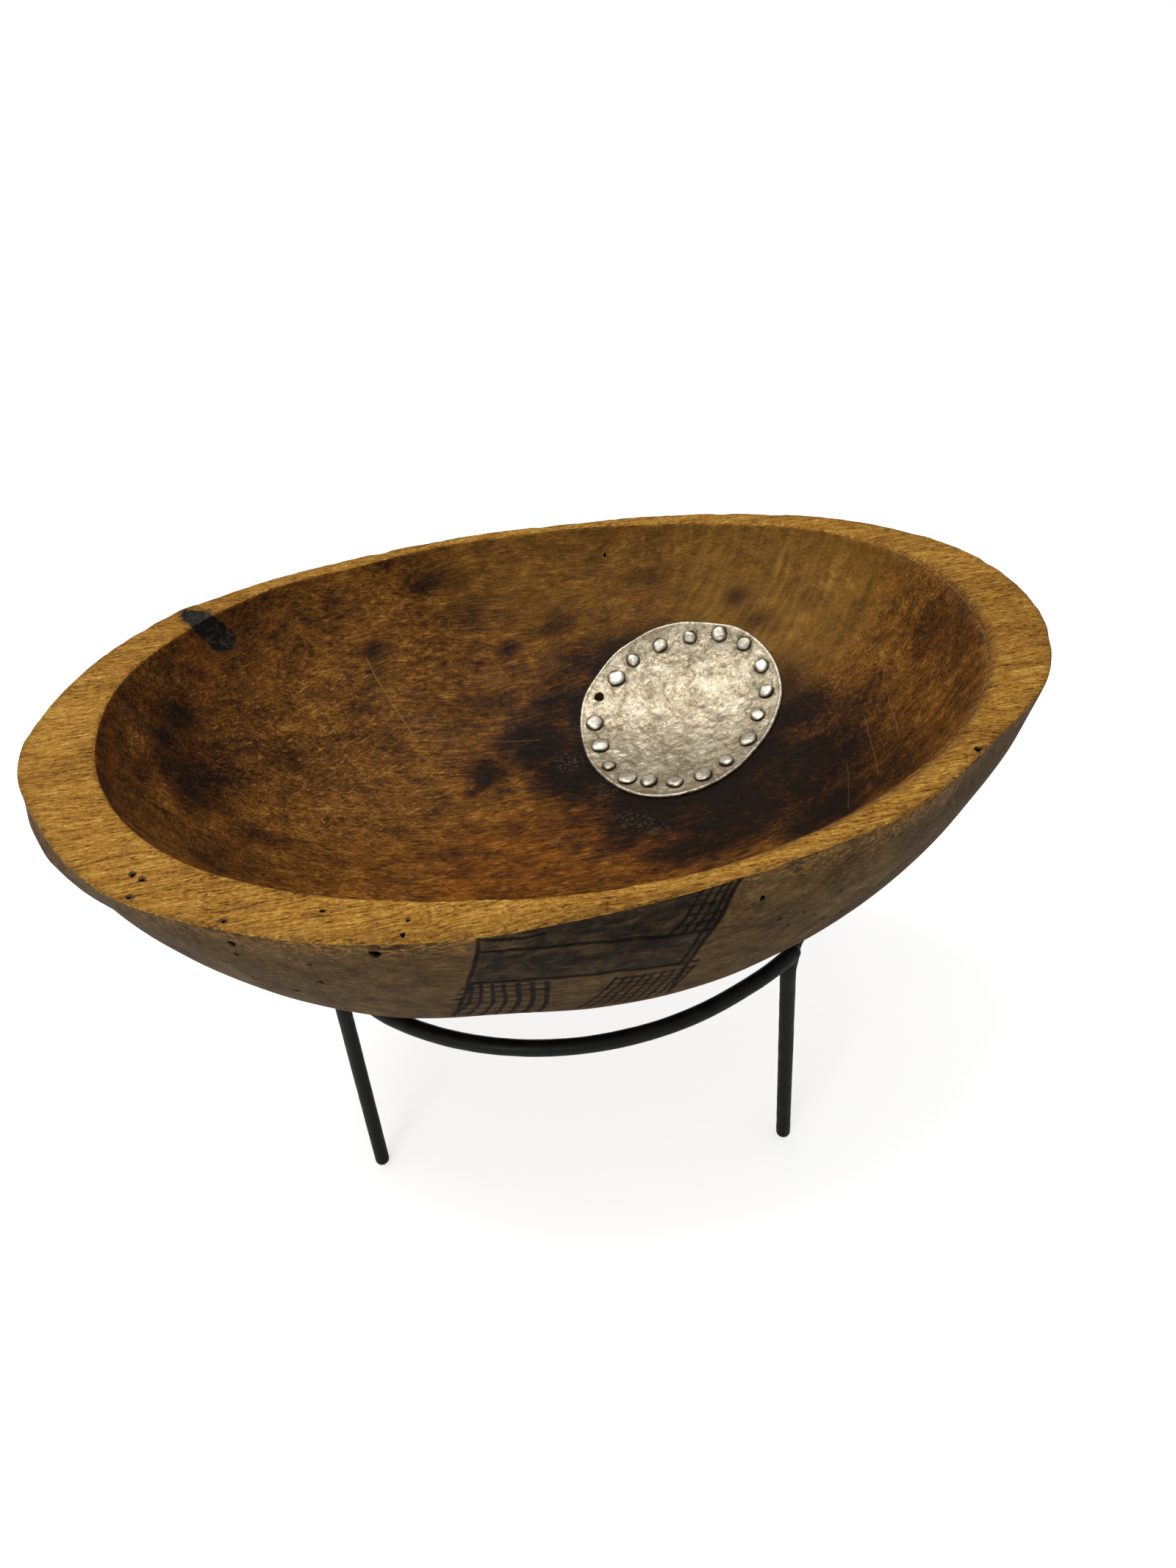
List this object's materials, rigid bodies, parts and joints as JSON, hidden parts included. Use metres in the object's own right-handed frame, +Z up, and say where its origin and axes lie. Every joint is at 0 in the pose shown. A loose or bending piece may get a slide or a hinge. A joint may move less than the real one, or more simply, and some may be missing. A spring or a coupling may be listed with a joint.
{
  "type": "carved wooden bowl",
  "caption": "Oval hand-carved wooden bowl with a thick flat rim and a riveted round metal repair, resting loose in the ring of a three-legged iron rod stand.",
  "frame": {"origin": "on the floor under the middle of the bowl's length and width", "axes": "+X along the bowl's long side, +Y away from the side with the cut panel, +Z up through the mouth"},
  "size_m": [0.401, 0.27, 0.222],
  "materials": {
    "wood": "dry, worn old hardwood, darker and slightly greasy in the hollow",
    "sheet": "hand-hammered dull grey sheet",
    "rivet_metal": "hammered soft heads",
    "iron": "satin black paint on round iron bar",
    "weld": "painted weld bead"
  },
  "bodies": {
    "stand": {"stand_bar_1": "iron", "stand_bar_2": "iron", "stand_bar_3": "iron", "weld_1": "weld", "weld_2": "weld", "weld_3": "weld"},
    "bowl": {"bowl_body": "wood", "patch_plate": "sheet", "backing_plate": "sheet", "rivet_01": "rivet_metal", "rivet_02": "rivet_metal", "rivet_03": "rivet_metal", "rivet_04": "rivet_metal", "rivet_05": "rivet_metal", "rivet_06": "rivet_metal", "rivet_07": "rivet_metal", "rivet_08": "rivet_metal", "rivet_09": "rivet_metal", "rivet_10": "rivet_metal", "rivet_11": "rivet_metal", "rivet_12": "rivet_metal", "rivet_13": "rivet_metal", "rivet_14": "rivet_metal", "rivet_15": "rivet_metal", "rivet_16": "rivet_metal", "rivet_17": "rivet_metal", "rivet_18": "rivet_metal"}
  },
  "joints": [
    {"name": "bowl_lift", "type": "slide", "parent": "stand", "child": "bowl", "axis": [0, 0, 1], "range_m": [0, 0.15]}
  ]
}
